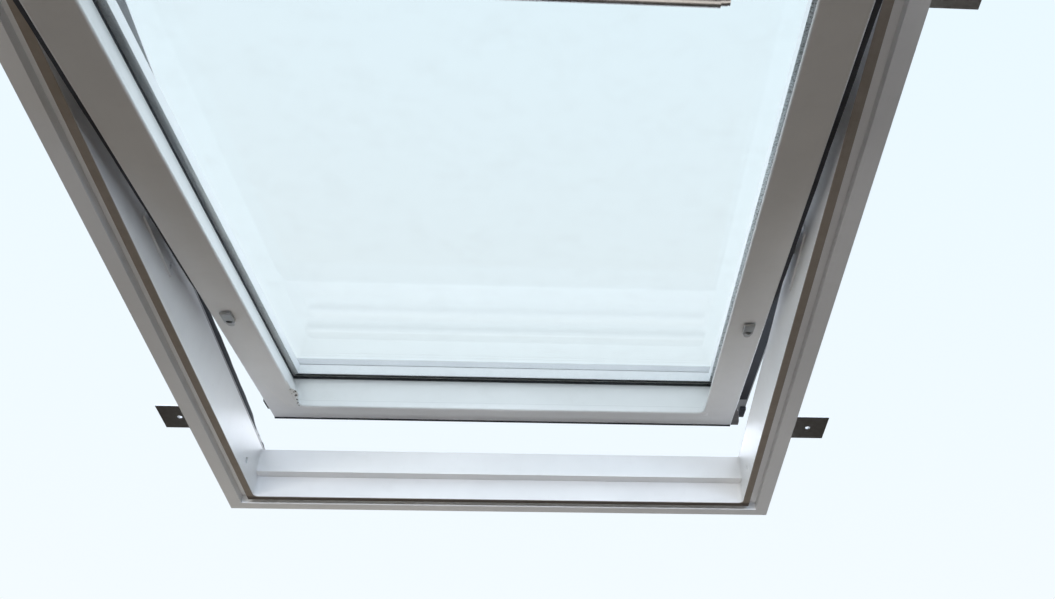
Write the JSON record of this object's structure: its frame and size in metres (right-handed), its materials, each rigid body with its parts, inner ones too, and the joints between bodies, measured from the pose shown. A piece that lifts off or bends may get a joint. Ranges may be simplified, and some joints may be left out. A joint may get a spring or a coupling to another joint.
{
  "type": "roof window",
  "caption": "Centre-pivot roof window with a white hollow frame and tilting glazed sash, outer covers, blind hooks, a control bar and angle brackets.",
  "frame": {"origin": "centre of the screw pattern of the four mounting brackets, in the plane of their seats", "axes": "+Z out of the roof, +Y up the slope, +X to the left for somebody who looks up at the window from the room"},
  "size_m": [0.9, 1.193, 0.2914],
  "materials": {
    "frame_white": "satin",
    "sash_white": "satin",
    "black_rubber": "matte",
    "cover_sheet": "matte coated",
    "steel": "zinc plated",
    "white_steel": "powder coated",
    "screw_steel": "zinc plated",
    "hook_metal": "satin",
    "glass": "clear",
    "spacer_metal": "mill finish",
    "edge_seal": "matte",
    "grey_plastic": "moulded",
    "bar_metal": "satin anodised",
    "white_gloss": "moulded",
    "tongue_metal": "bright"
  },
  "bodies": {
    "frame": {"bottom_apron": "cover_sheet", "bracket_screws": "screw_steel", "fixing_plugs": "white_gloss", "frame_bottom_member": "frame_white", "frame_cross_steels": "steel", "frame_left_member": "frame_white", "frame_lower_cap_left": "cover_sheet", "frame_lower_cap_right": "cover_sheet", "frame_right_member": "frame_white", "frame_seal": "black_rubber", "frame_side_steels": "steel", "frame_top_member": "frame_white", "frame_upper_cover_left": "cover_sheet", "frame_upper_cover_right": "cover_sheet", "friction_discs": "grey_plastic", "hinge_pins": "screw_steel", "hinge_plate_left": "white_steel", "hinge_plate_right": "white_steel", "hinge_plate_screws": "screw_steel", "lock_striker": "steel", "mounting_brackets": "steel", "pivot_cover_left": "cover_sheet", "pivot_cover_right": "cover_sheet", "striker_screws": "screw_steel", "top_hood": "cover_sheet"},
    "sash": {"bar_brackets": "bar_metal", "blind_hook_left": "hook_metal", "blind_hook_right": "hook_metal", "blind_hook_screws": "screw_steel", "corner_blocks": "black_rubber", "fitting_screws": "screw_steel", "glass_retainers": "cover_sheet", "glazing_blocks": "grey_plastic", "hinge_arm_left": "steel", "hinge_arm_right": "steel", "hinge_arm_screws": "screw_steel", "inner_gasket": "black_rubber", "inner_pane": "glass", "lock_case": "white_gloss", "outer_gasket": "black_rubber", "outer_pane": "glass", "pane_edge_seal": "edge_seal", "sash_bottom_cover": "cover_sheet", "sash_bottom_rail": "sash_white", "sash_cover_left": "cover_sheet", "sash_cover_right": "cover_sheet", "sash_cross_steels": "steel", "sash_flange_bottom": "black_rubber", "sash_flange_left": "black_rubber", "sash_flange_right": "black_rubber", "sash_left_stile": "sash_white", "sash_lower_seal": "black_rubber", "sash_right_stile": "sash_white", "sash_side_steels": "steel", "sash_top_rail": "sash_white", "spacer_bar": "spacer_metal"},
    "bar": {"control_bar": "bar_metal", "bar_arms": "bar_metal", "bar_pins": "screw_steel"},
    "tongue": {"lock_tongue": "tongue_metal"}
  },
  "joints": [
    {"name": "sash_pivot", "type": "hinge", "parent": "frame", "child": "sash", "pos_m": [0, 0, 0.019], "axis": [-1, 0, 0], "range_deg": [-8.54, 110]},
    {"name": "bar_turn", "type": "hinge", "parent": "sash", "child": "bar", "pos_m": [0, 0.50021, -0.09771], "axis": [1, 0, 0], "range_deg": [-40, 0]},
    {"name": "tongue_slide", "type": "slide", "parent": "sash", "child": "tongue", "axis": [0, -0.9889, 0.1485], "range_m": [-0.009, 0]}
  ],
  "couplings": [
    {"joint": "tongue_slide", "follows": "bar_turn", "m_per_rad": 0.012879}
  ]
}
